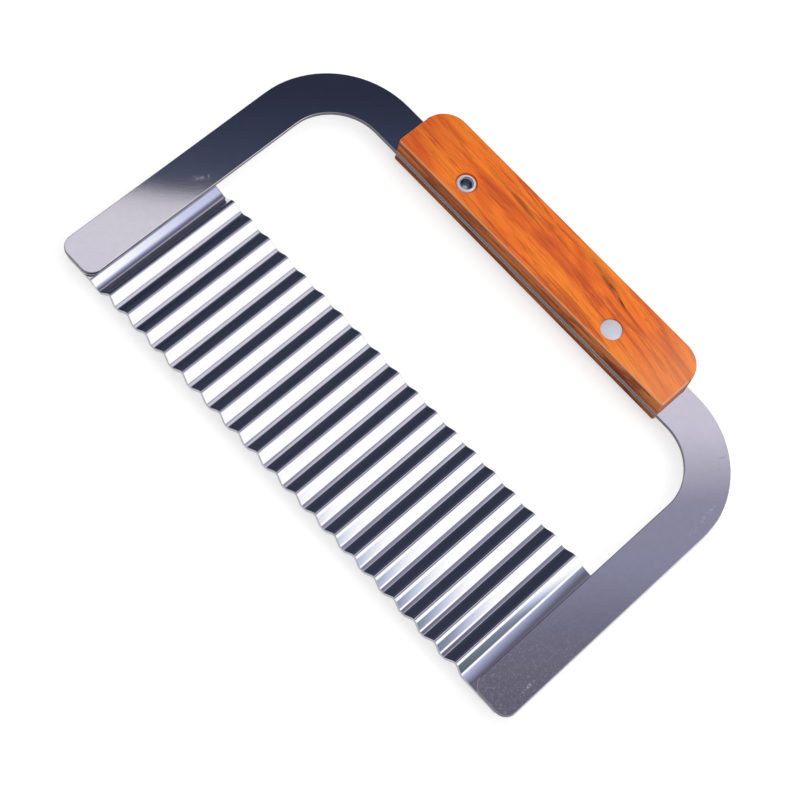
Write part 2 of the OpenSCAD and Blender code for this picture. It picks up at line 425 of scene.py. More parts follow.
def rim(low, high, r, steps):
    """Insets and heights of the rings round a plate from its low face to its high face.

    Each rim is a quarter circle: the inset is r(1 - sin t) and the rise r(1 - cos t).
    """
    t = np.linspace(0, math.pi / 2, steps + 1)
    inset, rise = r * (1 - np.sin(t)), r * (1 - np.cos(t))
    return np.concatenate(
        [np.column_stack([inset, low + rise]), np.column_stack([inset[::-1], high - rise[::-1]])]
    )


def circle(centre, r):
    """Counter-clockwise circle."""
    t = np.arange(ROUND_STEPS) * (2 * math.pi / ROUND_STEPS)
    return np.column_stack([centre[0] + r * np.cos(t), centre[1] + r * np.sin(t)])


def at_height(loop, z):
    """Points of a flat loop, lifted to a height."""
    return np.column_stack([loop, np.full(len(loop), z)])


def flat_face(outline, holes, z, faces_up):
    """Patch of the flat face inside an outline and outside round holes."""
    loops = [outline, *holes]
    points = np.concatenate(loops)
    corners = np.array(tessellate_polygon([at_height(loop, 0.0).tolist() for loop in loops]))
    a, b, c = (points[corners[:, k]] for k in range(3))
    area = (b - a)[:, 0] * (c - a)[:, 1] - (b - a)[:, 1] * (c - a)[:, 0]
    wrong = area < 0 if faces_up else area > 0
    corners[wrong] = corners[wrong][:, ::-1]
    return at_height(points, z), corners, False, 0


def ring_wall(rings, keep=None, material=0):
    """Patch of the wall up through rings of equal length; keep picks some of its columns."""
    rings = np.asarray(rings)
    faces = ring_faces(len(rings), rings.shape[1])
    if keep is not None:
        faces = faces.reshape(len(rings) - 1, -1, 4)[:, keep].reshape(-1, 4)
    return rings.reshape(-1, 3), faces, True, material


def turned_wall(centre, profile):
    """Patch of a wall carried round an axis, from (radius, height) pairs.

    A solid's wall runs from its low end to its high end, and a hole's wall from the top down.
    """
    return ring_wall([at_height(circle(centre, r), z) for r, z in profile])


def lathe(centre, profile):
    """Patches of a solid of revolution: a profile of (radius, height) pairs carried round an axis.

    The profile runs from the solid's low end to its high end, and a flat disc closes each end.
    """
    (low_r, low_z), (high_r, high_z) = profile[0], profile[-1]
    disc = np.arange(ROUND_STEPS)[None, :]
    return [
        turned_wall(centre, profile),
        (at_height(circle(centre, low_r), low_z), disc[:, ::-1], True, 0),
        (at_height(circle(centre, high_r), high_z), disc, True, 0),
    ]


# ---------------------------------------------------------------- materials


class Graph:
    """Adds nodes to a node tree and joins them; an input takes a number, a colour or an output."""

    def __init__(self, tree):
        self.tree = tree

    def add(self, kind, settings=None, *values, **named):
        """A node with its settings, and with inputs given in their order or by name."""
        node = self.tree.nodes.new(kind)
        for key, value in (settings or {}).items():
            setattr(node, key, value)
        for socket, value in zip(node.inputs, values):
            self.join(socket, value)
        return self.fill(node, **named)

    def fill(self, node, **named):
        """Fills inputs of a node by name, with _ for a space."""
        for key, value in named.items():
            self.join(node.inputs[key.replace("_", " ")], value)
        return node

    def join(self, socket, value):
        if isinstance(value, bpy.types.NodeSocket):
            self.tree.links.new(value, socket)
        elif socket.type == "RGBA" and len(value) == 3:
            socket.default_value = (*value, 1.0)
        else:
            socket.default_value = value

    def calc(self, operation, a, b=0.0, clamp=False):
        """A number worked out from one or two others."""
        settings = {"operation": operation, "use_clamp": clamp}
        return self.add("ShaderNodeMath", settings, a, b).outputs[0]

    def times(self, a, b, clamp=False):
        """The product of two numbers."""
        return self.calc("MULTIPLY", a, b, clamp)

    def parts(self, vector):
        """The X, Y and Z of a vector."""
        return self.add("ShaderNodeSeparateXYZ", Vector=vector).outputs

    def bump(self, shader, height, strength=1.0):
        """Gives a shader the normal of a surface whose height is in metres."""
        node = self.add("ShaderNodeBump", Strength=strength, Distance=1.0, Height=height)
        self.fill(shader, Normal=node.outputs[0])

    def blend(self, share_of_b, a, b, mode="MIX"):
        """A colour between a and b."""
        node = self.add("ShaderNodeMix", {"data_type": "RGBA", "blend_type": mode}, share_of_b)
        self.join(node.inputs[6], a)
        self.join(node.inputs[7], b)
        return node.outputs[2]

    def step(self, value, low, high, to_low=0.0, to_high=1.0):
        """Smooth step: to_low below low, to_high above high."""
        settings = {"interpolation_type": "SMOOTHSTEP"}
        return self.add("ShaderNodeMapRange", settings, value, low, high, to_low, to_high).outputs[0]

    def mark(self, place, x, y, half_length, half_width, degrees, core=0.3):
        """Mask of an elliptic mark in millimetres: 1 inside core times its size, 0 outside it."""
        near = self.add(
            "ShaderNodeMapping",
            {"vector_type": "TEXTURE"},
            Vector=place,
            Location=(x * MM, y * MM, 0.0),
            Rotation=(0.0, 0.0, math.radians(degrees)),
            Scale=(half_length * MM, half_width * MM, 1.0),
        )
        away = self.add("ShaderNodeVectorMath", {"operation": "LENGTH"}, near.outputs[0])
        return self.step(away.outputs["Value"], core, 1.0, 1.0, 0.0)

    def noise(self, vector, grains, detail=3.0, roughness=0.55, distortion=0.0):
        """Noise with so many grains per metre, given once or for each axis."""
        grains = grains if isinstance(grains, tuple) else (grains,) * 3
        spread = self.add("ShaderNodeVectorMath", {"operation": "MULTIPLY"}, vector, grains)
        shape = {"Scale": 1.0, "Detail": detail, "Roughness": roughness, "Distortion": distortion}
        return self.add("ShaderNodeTexNoise", Vector=spread.outputs[0], **shape).outputs["Fac"]


def new_group(name, inputs, outputs):
    """A node group with its sockets, and the graph, inputs and output node to fill it with.

    A socket called Vector is a vector, and every other one is a number.
    """
    tree = bpy.data.node_groups.new(name, "ShaderNodeTree")
    for way, sockets in (("INPUT", inputs), ("OUTPUT", outputs)):
        for socket in sockets:
            kind = "NodeSocketVector" if socket == "Vector" else "NodeSocketFloat"
            tree.interface.new_socket(name=socket, in_out=way, socket_type=kind)
    graph = Graph(tree)
    return graph, graph.add("NodeGroupInput").outputs, graph.add("NodeGroupOutput").inputs


def new_material(name):
    """A material, the graph to fill it with, its shader and its Object coordinates."""
    material = bpy.data.materials.new(name)
    material.use_nodes = True
    graph = Graph(material.node_tree)
    place = graph.add("ShaderNodeTexCoord").outputs["Object"]
    return material, graph, material.node_tree.nodes["Principled BSDF"], place


def polished_metal_group():
    """Height and haze of polished metal: fine pits, slow ripples, and scuffs and flecks that blur it."""
    if "Polished metal" in bpy.data.node_groups:
        return bpy.data.node_groups["Polished metal"]
    inputs, outputs = ("Vector", "Grain", "Waviness", "Scuffs", "Flecks"), ("Height", "Haze", "Tone")
    graph, given, out = new_group("Polished metal", inputs, outputs)
    place = given["Vector"]
    pits = graph.calc("SUBTRACT", graph.noise(place, 2600.0, detail=2.0, roughness=0.7), 0.5)
    ripples = graph.noise(place, 38.0, detail=1.0)
    pit_height = graph.times(pits, graph.times(given["Grain"], PIT_DEPTH))
    ripple_height = graph.times(ripples, graph.times(given["Waviness"], RIPPLE_DEPTH))
    graph.join(out["Height"], graph.calc("ADD", pit_height, ripple_height))
    patches = graph.step(graph.noise(place, 60.0, detail=4.0, roughness=0.6), 0.58, 0.74)
    scratches = graph.noise(place, (900.0, 160.0, 900.0), roughness=0.6, distortion=0.6)
    scuffs = graph.times(graph.step(scratches, 0.64, 0.72), patches)
    flecks = graph.step(graph.noise(place, 2700.0, detail=2.0, roughness=0.8), 0.48, 0.74)
    scuffed, flecked = graph.times(scuffs, given["Scuffs"]), graph.times(flecks, given["Flecks"])
    graph.join(out["Haze"], graph.calc("ADD", scuffed, flecked, clamp=True))
    graph.join(out["Tone"], graph.noise(place, 420.0, detail=5.0, roughness=0.7))
    return graph.tree


def metal(name, tint, roughness, grain, waviness, scuffs, metallic=1.0, worn=None):
    """Polished metal: one colour with a faint tone, its haze in the roughness, its grain as bump.

    worn(graph, place) gives the flecks' strength and the mask of more scuffs.
    """
    material, graph, shader, place = new_material(name)
    flecks, marks = worn(graph, place) if worn else (0.0, 0.0)
    amounts = {"Grain": grain, "Waviness": waviness, "Scuffs": scuffs, "Flecks": flecks}
    effect = graph.add("ShaderNodeGroup", {"node_tree": polished_metal_group()}, Vector=place, **amounts)
    darker = [(1 - TONE_DEPTH) * channel for channel in tint]
    graph.fill(shader, Base_Color=graph.blend(effect.outputs["Tone"], tint, darker), Metallic=metallic)
    haze = graph.times(graph.calc("MAXIMUM", effect.outputs["Haze"], marks), HAZE_ROUGHNESS)
    graph.fill(shader, Roughness=graph.calc("ADD", haze, roughness))
    graph.bump(shader, effect.outputs["Height"])
    return material


def frame_wear(graph, place):
    """Flecks that thicken down the right leg, and the scuffs of FRAME_SCUFFS broken up by noise."""
    at = graph.parts(place)
    to_the_right = graph.step(at["X"], 30 * MM, 90 * MM)
    down_the_leg = graph.step(at["Y"], 20 * MM, -55 * MM, 0.05, 0.8)
    broken = graph.step(graph.noise(place, 800.0, detail=4.0, roughness=0.8), 0.46, 0.7)
    marks = 0.0
    for *ellipse, strength in FRAME_SCUFFS:
        spot = graph.mark(place, *ellipse)
        marks = graph.calc("MAXIMUM", marks, graph.times(spot, strength))
    return graph.times(to_the_right, down_the_leg), graph.times(marks, broken, clamp=True)


def ground_metal(name, tint):
    """Ground steel: fine lines across the edge, from noise drawn out along Y and Z."""
    material, graph, shader, place = new_material(name)
    lines = graph.noise(place, (9000.0, 500.0, 500.0), detail=2.0)
    darker = [0.75 * channel for channel in tint]
    graph.fill(shader, Base_Color=graph.blend(lines, tint, darker), Metallic=1.0)
    graph.fill(shader, Roughness=graph.step(lines, 0.3, 0.7, 0.25, 0.45))
    graph.bump(shader, graph.times(lines, GRINDING_DEPTH))
    return material


def wood_noises(graph, at):
    """The noises of WOOD_NOISES, along a grain that leaves X by GRAIN_SAG times x squared."""
    sag = graph.times(graph.calc("POWER", graph.calc("MAXIMUM", at["X"], 0.0), 2.0), GRAIN_SAG)
    bent = graph.add("ShaderNodeCombineXYZ", X=at["X"], Y=graph.calc("ADD", at["Y"], sag), Z=at["Z"])
    turn = tuple(math.radians(degrees) for degrees in GRAIN_TURN)
    along = graph.add("ShaderNodeMapping", Vector=bent.outputs[0], Rotation=turn).outputs[0]
    return {name: graph.noise(along, *values) for name, values in WOOD_NOISES.items()}


def front_colour(graph, s, place, at, noises, pores):
    """Colour of the varnished wood: layers, dark marks, pores, a painted highlight on the right end and
    painted shade on the left end.
    """
    wood = s.middle
    for name, low, high, cover, layer in WOOD_LAYERS:
        wood = graph.blend(graph.step(noises[name], low, high, 0.0, cover), wood, getattr(s, layer))
    for *ellipse, depth in GRIP_MARKS:
        spot = graph.mark(place, *ellipse, core=0.15)
        ragged = graph.times(spot, graph.step(noises["streaks"], 0.38, 0.54, 0.3, 1.0))
        wood = graph.blend(graph.times(ragged, depth, clamp=True), wood, s.pore)
    wood = graph.blend(graph.times(pores, 0.3), wood, s.pore)
    # Painted highlight: paler towards the right end
    wood = graph.blend(graph.step(at["X"], 30 * MM, GRIP_HIGH.x, 0.0, 0.4), wood, s.pale)
    # Painted shade: darker towards the left end
    return graph.blend(graph.step(at["X"], -35 * MM, GRIP_LOW.x, 0.0, 0.3), wood, s.dark)


def sawn_colour_and_shade(graph, s, at, noises):
    """Colour of the bare foot, with painted shade that darkens it behind the kerf's front face."""
    sawn = graph.blend(graph.step(noises["streaks"], 0.42, 0.58, 0.0, 0.9), s.sawn, s.sawn_dark)
    # Painted shade: darker below the frame's back face, fading out up to its front face
    return graph.blend(graph.step(at["Z"], FRAME_LOW.z, FRAME_HIGH.z, 0.42, 0.0), sawn, s.painted_kerf_shade)


def edge_highlight_mask(graph, at, tones):
    """Mask of the painted highlight on the front's edges beside the foot and the right end."""
    top = graph.step(at["Z"], GRIP_HIGH.z - 0.75 * MM, GRIP_HIGH.z - 0.25 * MM)
    by_foot = graph.step(at["Y"], GRIP_LOW.y + 0.42 * MM, GRIP_LOW.y + 0.15 * MM)
    by_end = graph.step(at["X"], GRIP_HIGH.x - 0.6 * MM, GRIP_HIGH.x - 0.25 * MM)
    edges = graph.times(top, graph.calc("MAXIMUM", by_foot, by_end))
    return graph.times(edges, graph.step(tones, 0.3, 0.5, 0.5, 1.0))


def varnished_wood(s):
    """Orange wood under a thin varnish.

    The sawn foot and ends are bare, a painted highlight makes the front's edges beside them pale, and
    painted shade darkens the foot behind the kerf.
    """
    material, graph, shader, place = new_material("Varnished orange wood")
    at = graph.parts(place)
    noises = wood_noises(graph, at)
    in_streaks = graph.step(noises["streaks"], 0.42, 0.6)
    pores = graph.times(graph.step(noises["pores"], 0.62, 0.7), in_streaks, clamp=True)
    wood = front_colour(graph, s, place, at, noises, pores)
    foot = graph.step(at["Y"], GRIP_LOW.y + 0.08 * MM, GRIP_LOW.y + 0.25 * MM, 1.0, 0.0)
    wood = graph.blend(foot, wood, sawn_colour_and_shade(graph, s, at, noises))
    middle_x, half_length = (GRIP_LOW.x + GRIP_HIGH.x) / 2, (GRIP_HIGH.x - GRIP_LOW.x) / 2
    from_middle = graph.calc("ABSOLUTE", graph.calc("SUBTRACT", at["X"], middle_x))
    ends = graph.step(from_middle, half_length - 0.4 * MM, half_length - 0.1 * MM)
    end_grain = graph.blend(graph.step(noises["fibres"], 0.4, 0.65, 0.0, 0.6), s.end_grain, s.dark)
    wood = graph.blend(ends, wood, end_grain)
    # Painted highlight along the front's edges beside the foot and the right end
    wood = graph.blend(edge_highlight_mask(graph, at, noises["tones"]), wood, s.edge_highlight_paint)
    bare = graph.calc("MAXIMUM", foot, ends)
    graph.fill(shader, Base_Color=wood, Roughness=graph.step(bare, 0.0, 1.0, 0.42, 0.85))
    graph.fill(shader, Coat_Weight=graph.step(bare, 0.0, 1.0, 0.35, 0.0), Coat_Roughness=0.16)
    graph.fill(shader, Specular_IOR_Level=0.25)
    height = graph.calc("ADD", graph.times(noises["fibres"], FIBRE_HEIGHT), graph.times(pores, -PORE_DEPTH))
    graph.bump(shader, height, strength=0.6)
    return material


# ---------------------------------------------------------------- operators


class SOAPCUTTER_OT_frame(bpy.types.Operator):
    """Build the flat steel frame, with its edges softened by polishing"""

    bl_idname = "soap_cutter.steel_frame"
    bl_label = "Steel Frame"

    def execute(self, context):
        s = context.scene.soap_cutter_frame
        half_w, y0, y1 = FRAME_HIGH.x, FRAME_LOW.y, FRAME_HIGH.y
        half_window, tang_y = half_w - s.strip_w, y1 - s.strip_w
        corners = [
            (-half_w, y0), (-half_window, y0), (-half_window, tang_y), (half_window, tang_y),
            (half_window, y0), (half_w, y0), (half_w, y1), (-half_w, y1),
        ]
        inner_r = s.shoulder_r - s.strip_w
        radii = [s.tip_r, s.tip_r, inner_r, inner_r, s.tip_r, s.tip_r, s.shoulder_r, s.shoulder_r]
        levels = rim(FRAME_LOW.z, FRAME_HIGH.z, s.edge_r, steps=4)
        rings = [at_height(square_loop(corners, radii, inset), z) for inset, z in levels]
        holes = [circle(bore, s.bore_d / 2) for bore in BORES]
        depth = [(s.bore_d / 2, FRAME_HIGH.z), (s.bore_d / 2, FRAME_LOW.z)]
        side, polished = len(rings) // 2 - 1, len(rings) // 2 + 2
        patches = [
            ring_wall(rings[: side + 1]),
            ring_wall(rings[side : polished + 1], material=1),
            ring_wall(rings[polished:]),
            flat_face(rings[-1][:, :2], holes, FRAME_HIGH.z, True),
            flat_face(rings[0][:, :2], holes, FRAME_LOW.z, False),
            *(turned_wall(bore, depth) for bore in BORES),
        ]
        steel = metal("Polished frame steel", s.steel, s.roughness, 0.5, 1.0, 0.5, worn=frame_wear)
        # Sheared edges: ground steel whose dark tint is partly painted shade
        edge = ground_metal("Sheared frame edge", s.shaded_cut_edge)
        stand_in(make_piece("steel_frame", patches, [steel, edge]), "frame")
        return {"FINISHED"}


class SOAPCUTTER_OT_blade(bpy.types.Operator):
    """Build the corrugated blade with its ground cutting edge and weld dimples"""

    bl_idname = "soap_cutter.wavy_blade"
    bl_label = "Wavy Blade"

    def execute(self, context):
        s = context.scene.soap_cutter_blade
        z0, half_t = BLADE_LOW.z, s.sheet_t / 2
        x, z, slope = self.middle_line(s, z0 + half_t)
        normal = np.column_stack([-np.sin(slope), np.cos(slope)])
        offset, y = self.section(s, z, normal[:, 1], z0)
        points = np.stack(
            [x[:, None] + offset * normal[:, :1], y, z[:, None] + offset * normal[:, 1:]], -1
        )
        self.dent_welds(s, points, offset)
        columns, ring = offset.shape
        faces = ring_faces(columns, ring)[:, ::-1].reshape(columns - 1, ring, 4)
        ends = np.arange(ring)[None, :]
        flat = points.reshape(-1, 3)
        patches = [
            (flat, faces[:, 2:].reshape(-1, 4), True, 0),
            (flat, faces[:, :2].reshape(-1, 4), True, 1),
            (points[0], ends, False, 0),
            (points[-1], ends[:, ::-1], False, 0),
        ]
        bright = metal("Bright blade steel", s.steel, s.roughness, 0.1, 0.3, 0.25)
        ground = ground_metal("Ground edge steel", s.ground)
        stand_in(make_piece("wave_blade", patches, [bright, ground]), "wavy_blade")
        return {"FINISHED"}

    def middle_line(self, s, valley_z):
        """Middle line of the sheet across the waves: x, z and slope of each column.

        A crest is an arc of the radius R about (c, valley_z + depth - R). A valley is a flat
        floor between two arcs of the radius Q, the nearer about (c - h, valley_z + Q) with
        h = (pitch - floor) / 2. At the slope p the crest's point is its centre + R(-sin p, cos p)
        and the valley's is its centre + Q(sin p, -cos p), and the flanks are the straight lines
        between them at the greatest slope, where the two arcs share a tangent. Flat strips carry
        the line on to the blade's ends, and there the flange bends add their own slopes.
        """
        half, bend = (s.wave_pitch - s.valley_flat) / 2, s.crest_r + s.valley_r
        rise = bend - s.wave_depth
        steepest = math.asin(bend / math.hypot(half, rise)) - math.atan2(rise, half)
        window = 2 * BLADE_HIGH.x - 2 * s.blade_lap
        crests = int((window - 2 * s.flat_w) / s.wave_pitch + 1e-6)
        up = np.linspace(0, steepest, BEND_STEPS)
        over = np.linspace(steepest, -steepest, CREST_STEPS)
        down = np.linspace(-steepest, 0, BEND_STEPS)
        wave_slope = np.concatenate([up, over, down])
        wave_x = np.concatenate([
            -half + s.valley_r * np.sin(up), -s.crest_r * np.sin(over), half + s.valley_r * np.sin(down)
        ])
        wave_z = np.concatenate([
            s.valley_r * (1 - np.cos(up)),
            s.wave_depth - s.crest_r * (1 - np.cos(over)),
            s.valley_r * (1 - np.cos(down)),
        ])
        centres = (np.arange(crests) - (crests - 1) / 2) * s.wave_pitch
        flat = np.linspace((crests * s.wave_pitch - s.valley_flat) / 2, BLADE_HIGH.x, STRIP_STEPS)
        x = np.concatenate([-flat[:0:-1], (centres[:, None] + wave_x).reshape(-1), flat[1:]])
        pad = np.zeros(len(flat) - 1)
        z = np.concatenate([pad, np.tile(wave_z, crests), pad]) + valley_z
        slope = np.concatenate([pad, np.tile(wave_slope, crests), pad])
        x += self.sway(s, x)
        bend = self.flange_bends(x, BLADE_HIGH.x - s.blade_lap)
        z[1:] += np.cumsum((np.tan(bend[1:]) + np.tan(bend[:-1])) / 2 * np.diff(x))
        return x, z, slope + bend

    def sway(self, s, x):
        """How far a column lies off its even place: sway (1.4 u^2 + 0.73 u - 1), u = x / SWAY_SPAN.

        It fades out over 10 mm, and is gone 2 mm before each end of the blade.
        """
        u = x / SWAY_SPAN
        fade = np.clip((BLADE_HIGH.x - 2 * MM - np.abs(x)) / (10 * MM), 0, 1)
        return s.sway * (1.4 * u * u + 0.73 * u - 1) * fade * fade * (3 - 2 * fade)

    def flange_bends(self, x, leg_x):
        """Slopes that pressing left in the strips beside the legs, in radians.

        They run straight between the knots (distance from the leg, degrees). What rises again
        is scaled so that each side ends at the height that it began at.
        """
        total, dx = np.zeros_like(x), np.gradient(x)
        for side, knots in ((-1, LEFT_BENDS), (1, RIGHT_BENDS)):
            away, degrees = np.array(knots).T
            bend = np.radians(np.interp(leg_x - side * x, away * MM, degrees, left=0.0, right=0.0))
            down, up = (np.abs((np.tan(bend) * dx)[bend * sign > 0].sum()) for sign in (-1, 1))
            total += np.where(bend > 0, np.arctan(np.tan(bend) * down / up), bend)
        return total

    def section(self, s, z, upright, z0):
        """Closed section across the sheet at every column: its offset from the middle line and its Y.

        The grinding plane rises from the land at the steepness of the edge angle, so a point at
        the height h is ground away up to y = (h - land) / tan(angle). The section runs from the
        back at the cutting edge over the land, the ground face, the front and the rounded top
        edge, and down the back again. Two rows close to the top edge keep the shading of its
        rounding off the faces.
        """
        y0, y1, half_t = BLADE_LOW.y, BLADE_HIGH.y, s.sheet_t / 2
        land_z = z0 + s.edge_land

        def ground_y(offset):
            height = z + offset * upright - land_z
            return y0 + np.maximum(height, 0) / math.tan(s.edge_angle)

        back, front = np.full_like(z, -half_t), np.full_like(z, half_t)
        reach = LAND_REACH * half_t
        land = np.clip((land_z - z) / upright, -reach, reach)
        t = np.linspace(0, math.pi / 2, TOP_STEPS)
        round_offset = half_t - s.top_r * (1 - np.cos(t))
        round_y = y1 - s.top_r * (1 - np.sin(t))
        welds = np.linspace(y0 + s.weld_inset, y1 - s.weld_inset, s.welds)
        across = np.linspace(-0.5, 0.5, WELD_STEPS) * s.weld_d
        back_y = np.sort((welds[:, None] + across).reshape(-1))[::-1]
        at_back = np.full(len(back_y) + 1, -half_t)
        offsets = np.concatenate([[half_t], round_offset, -round_offset[::-1], at_back])
        ys = np.concatenate([[y1 - 2 * s.top_r], round_y, round_y[::-1], [y1 - 2 * s.top_r], back_y])
        offset = np.column_stack([back, land, front, np.tile(offsets, (len(z), 1))])
        y = np.column_stack([ground_y(back), ground_y(land), ground_y(front), np.tile(ys, (len(z), 1))])
        return offset, y

    def dent_welds(self, s, points, offset):
        """Sinks a round dimple into the back at every weld: full depth inside 0.55 of its radius."""
        x, y = points[..., 0], points[..., 1]
        centre_x = BLADE_HIGH.x - s.blade_lap / 2
        welds = np.linspace(BLADE_LOW.y + s.weld_inset, BLADE_HIGH.y - s.weld_inset, s.welds)
        away = np.abs(y[..., None] - welds).min(-1)
        r = np.hypot(np.abs(x) - centre_x, away) / (s.weld_d / 2)
        ease = np.clip((1 - r) / 0.45, 0, 1)
        dent = s.weld_dent * ease * ease * (3 - 2 * ease)
        points[..., 2] += np.where(offset < -0.99 * s.sheet_t / 2, dent, 0.0)


class SOAPCUTTER_OT_grip(bpy.types.Operator):
    """Build the wooden grip with its saw kerf, rivet seats and rounded edges"""

    bl_idname = "soap_cutter.wood_grip"
    bl_label = "Wooden Grip"

    def execute(self, context):
        s = context.scene.soap_cutter_grip
        (x0, y0, z0), (x1, y1, z1) = GRIP_LOW, GRIP_HIGH
        kerf_low, kerf_high = FRAME_LOW.z - s.kerf_gap, FRAME_HIGH.z + s.kerf_gap
        kerf_y = FRAME_HIGH.y + s.kerf_gap
        corners = [(x0, y0), (x1, y0), (x1, y1), (x0, y1)]
        radii = [s.foot_r, s.foot_r, s.palm_r, s.palm_r]
        turn = 2 * (CORNER_STEPS + 1)

        def loop(inset):
            arcs = square_loop(corners, radii, inset)
            right, left = (x1 - inset, kerf_y), (x0 + inset, kerf_y)
            return np.concatenate([arcs[:turn], [right], arcs[turn:], [left]])

        edge = rim(z0, z1, s.edge_r, steps=7)
        middle = len(edge) // 2
        lower = [at_height(loop(inset), z) for inset, z in edge[:middle]]
        upper = [at_height(loop(inset), z) for inset, z in edge[middle:]]
        outline = loop(0.0)
        sides = [at_height(outline, kerf_low), at_height(outline, kerf_high)]
        foot = np.roll(outline, 1, axis=0)[: turn + 2]
        bore_r, seat_r = s.bore_d / 2, s.seat_d / 2
        bore_loops = [circle(bore, bore_r) for bore in BORES]
        seat_loops = [circle(bore, seat_r) for bore in BORES]
        front = [(seat_r, z1), (seat_r, z1 - s.seat_h), (bore_r, z1 - s.seat_h), (bore_r, kerf_high)]
        back = [(bore_r, kerf_low), (bore_r, z0 + s.seat_h), (seat_r, z0 + s.seat_h), (seat_r, z0)]
        across = np.array([(x0, kerf_y), (x1, kerf_y)])
        ceiling = np.concatenate([at_height(across, kerf_low), at_height(across[::-1], kerf_high)])
        patches = [
            ring_wall([*lower, sides[0]]),
            ring_wall(sides, keep=np.arange(turn, len(outline) - 1)),
            ring_wall([sides[1], *upper]),
            flat_face(lower[0][:, :2], seat_loops, z0, False),
            flat_face(upper[-1][:, :2], seat_loops, z1, True),
            flat_face(foot, bore_loops, kerf_low, True),
            flat_face(foot, bore_loops, kerf_high, False),
            (ceiling, np.arange(4)[None, :], False, 0),
            *(turned_wall(bore, profile) for bore in BORES for profile in (front, back)),
        ]
        piece = make_piece("wood_grip", patches, [varnished_wood(s)])
        stand_in(piece, "grip")
        return {"FINISHED"}


class SOAPCUTTER_OT_rivets(bpy.types.Operator):
    """Build the two semi-tubular rivets, one put in from each side"""

    bl_idname = "soap_cutter.rivets"
    bl_label = "Rivets"

    def execute(self, context):
        s = context.scene.soap_cutter_rivets
        satin = metal("Satin rivet metal", s.metal, s.roughness, 1.5, 1.0, 1.0, s.metallic)
        # Painted shade: darker metal for the inside of the funnel
        funnel = metal("Rivet funnel metal", s.funnel, s.funnel_roughness, 1.5, 1.0, 1.0)
        profile = self.profile(s)
        height = RIVET_HIGH - RIVET_LOW
        turned = np.column_stack([profile[:, 0], height - profile[:, 1]])[::-1]
        for node, centre_x, side in (("rivet_left", -RIVET_X, profile), ("rivet_right", RIVET_X, turned)):
            low_up = np.column_stack([side[:, 0], RIVET_LOW + side[:, 1]])
            piece = make_piece(node + "_turned", lathe((centre_x, RIVET_Y), low_up), [satin, funnel])
            self.paint_funnel_shade(s, piece, centre_x)
            stand_in(piece, node)
        return {"FINISHED"}

    def paint_funnel_shade(self, s, piece, centre_x):
        """Gives the second material, darker metal that paints the funnel's shade, to the faces that look
        inwards, towards the rivet's axis.
        """
        faces = piece.data.polygons
        centres, normals = np.empty(3 * len(faces)), np.empty(3 * len(faces))
        faces.foreach_get("center", centres)
        faces.foreach_get("normal", normals)
        from_axis = centres.reshape(-1, 3)[:, :2] - (centre_x, RIVET_Y)
        r = np.hypot(*from_axis.T)
        inwards = (from_axis * normals.reshape(-1, 3)[:, :2]).sum(1) < -0.35 * r
        index = (inwards & (r < 0.75 * s.roll_d / 2)).astype(np.int32)
        faces.foreach_set("material_index", index)

    def profile(self, s):
        """Half section as (radius, height) pairs: domed head, shank, roll and funnel.

        The dome is a circle's cap whose chord is the head's width. The roll is half an ellipse
        that stands on the seat between the hollow and the rolled width.
        """
        height = RIVET_HIGH - RIVET_LOW
        head_r, shank_r, hollow_r, roll_r = s.head_d / 2, s.shank_d / 2, s.hollow_d / 2, s.roll_d / 2
        dome_r = (head_r**2 + s.dome_h**2) / (2 * s.dome_h)
        out = np.linspace(DISC_SHARE, 1, DOME_STEPS) * head_r
        dome = np.column_stack([out, dome_r - np.sqrt(dome_r**2 - out**2)])
        under = [(head_r, s.head_h), (shank_r, s.head_h), (shank_r, height - s.head_h)]
        t = np.linspace(0, math.pi, ROLL_STEPS)
        middle, half_w = (roll_r + hollow_r) / 2, (roll_r - hollow_r) / 2
        roll = np.column_stack([middle + half_w * np.cos(t), height - s.head_h * (1 - np.sin(t))])
        floor = [(s.funnel_d / 2, height - s.hollow_h), (DISC_SHARE * head_r, height - s.hollow_h)]
        return np.concatenate([dome, under, roll, floor])


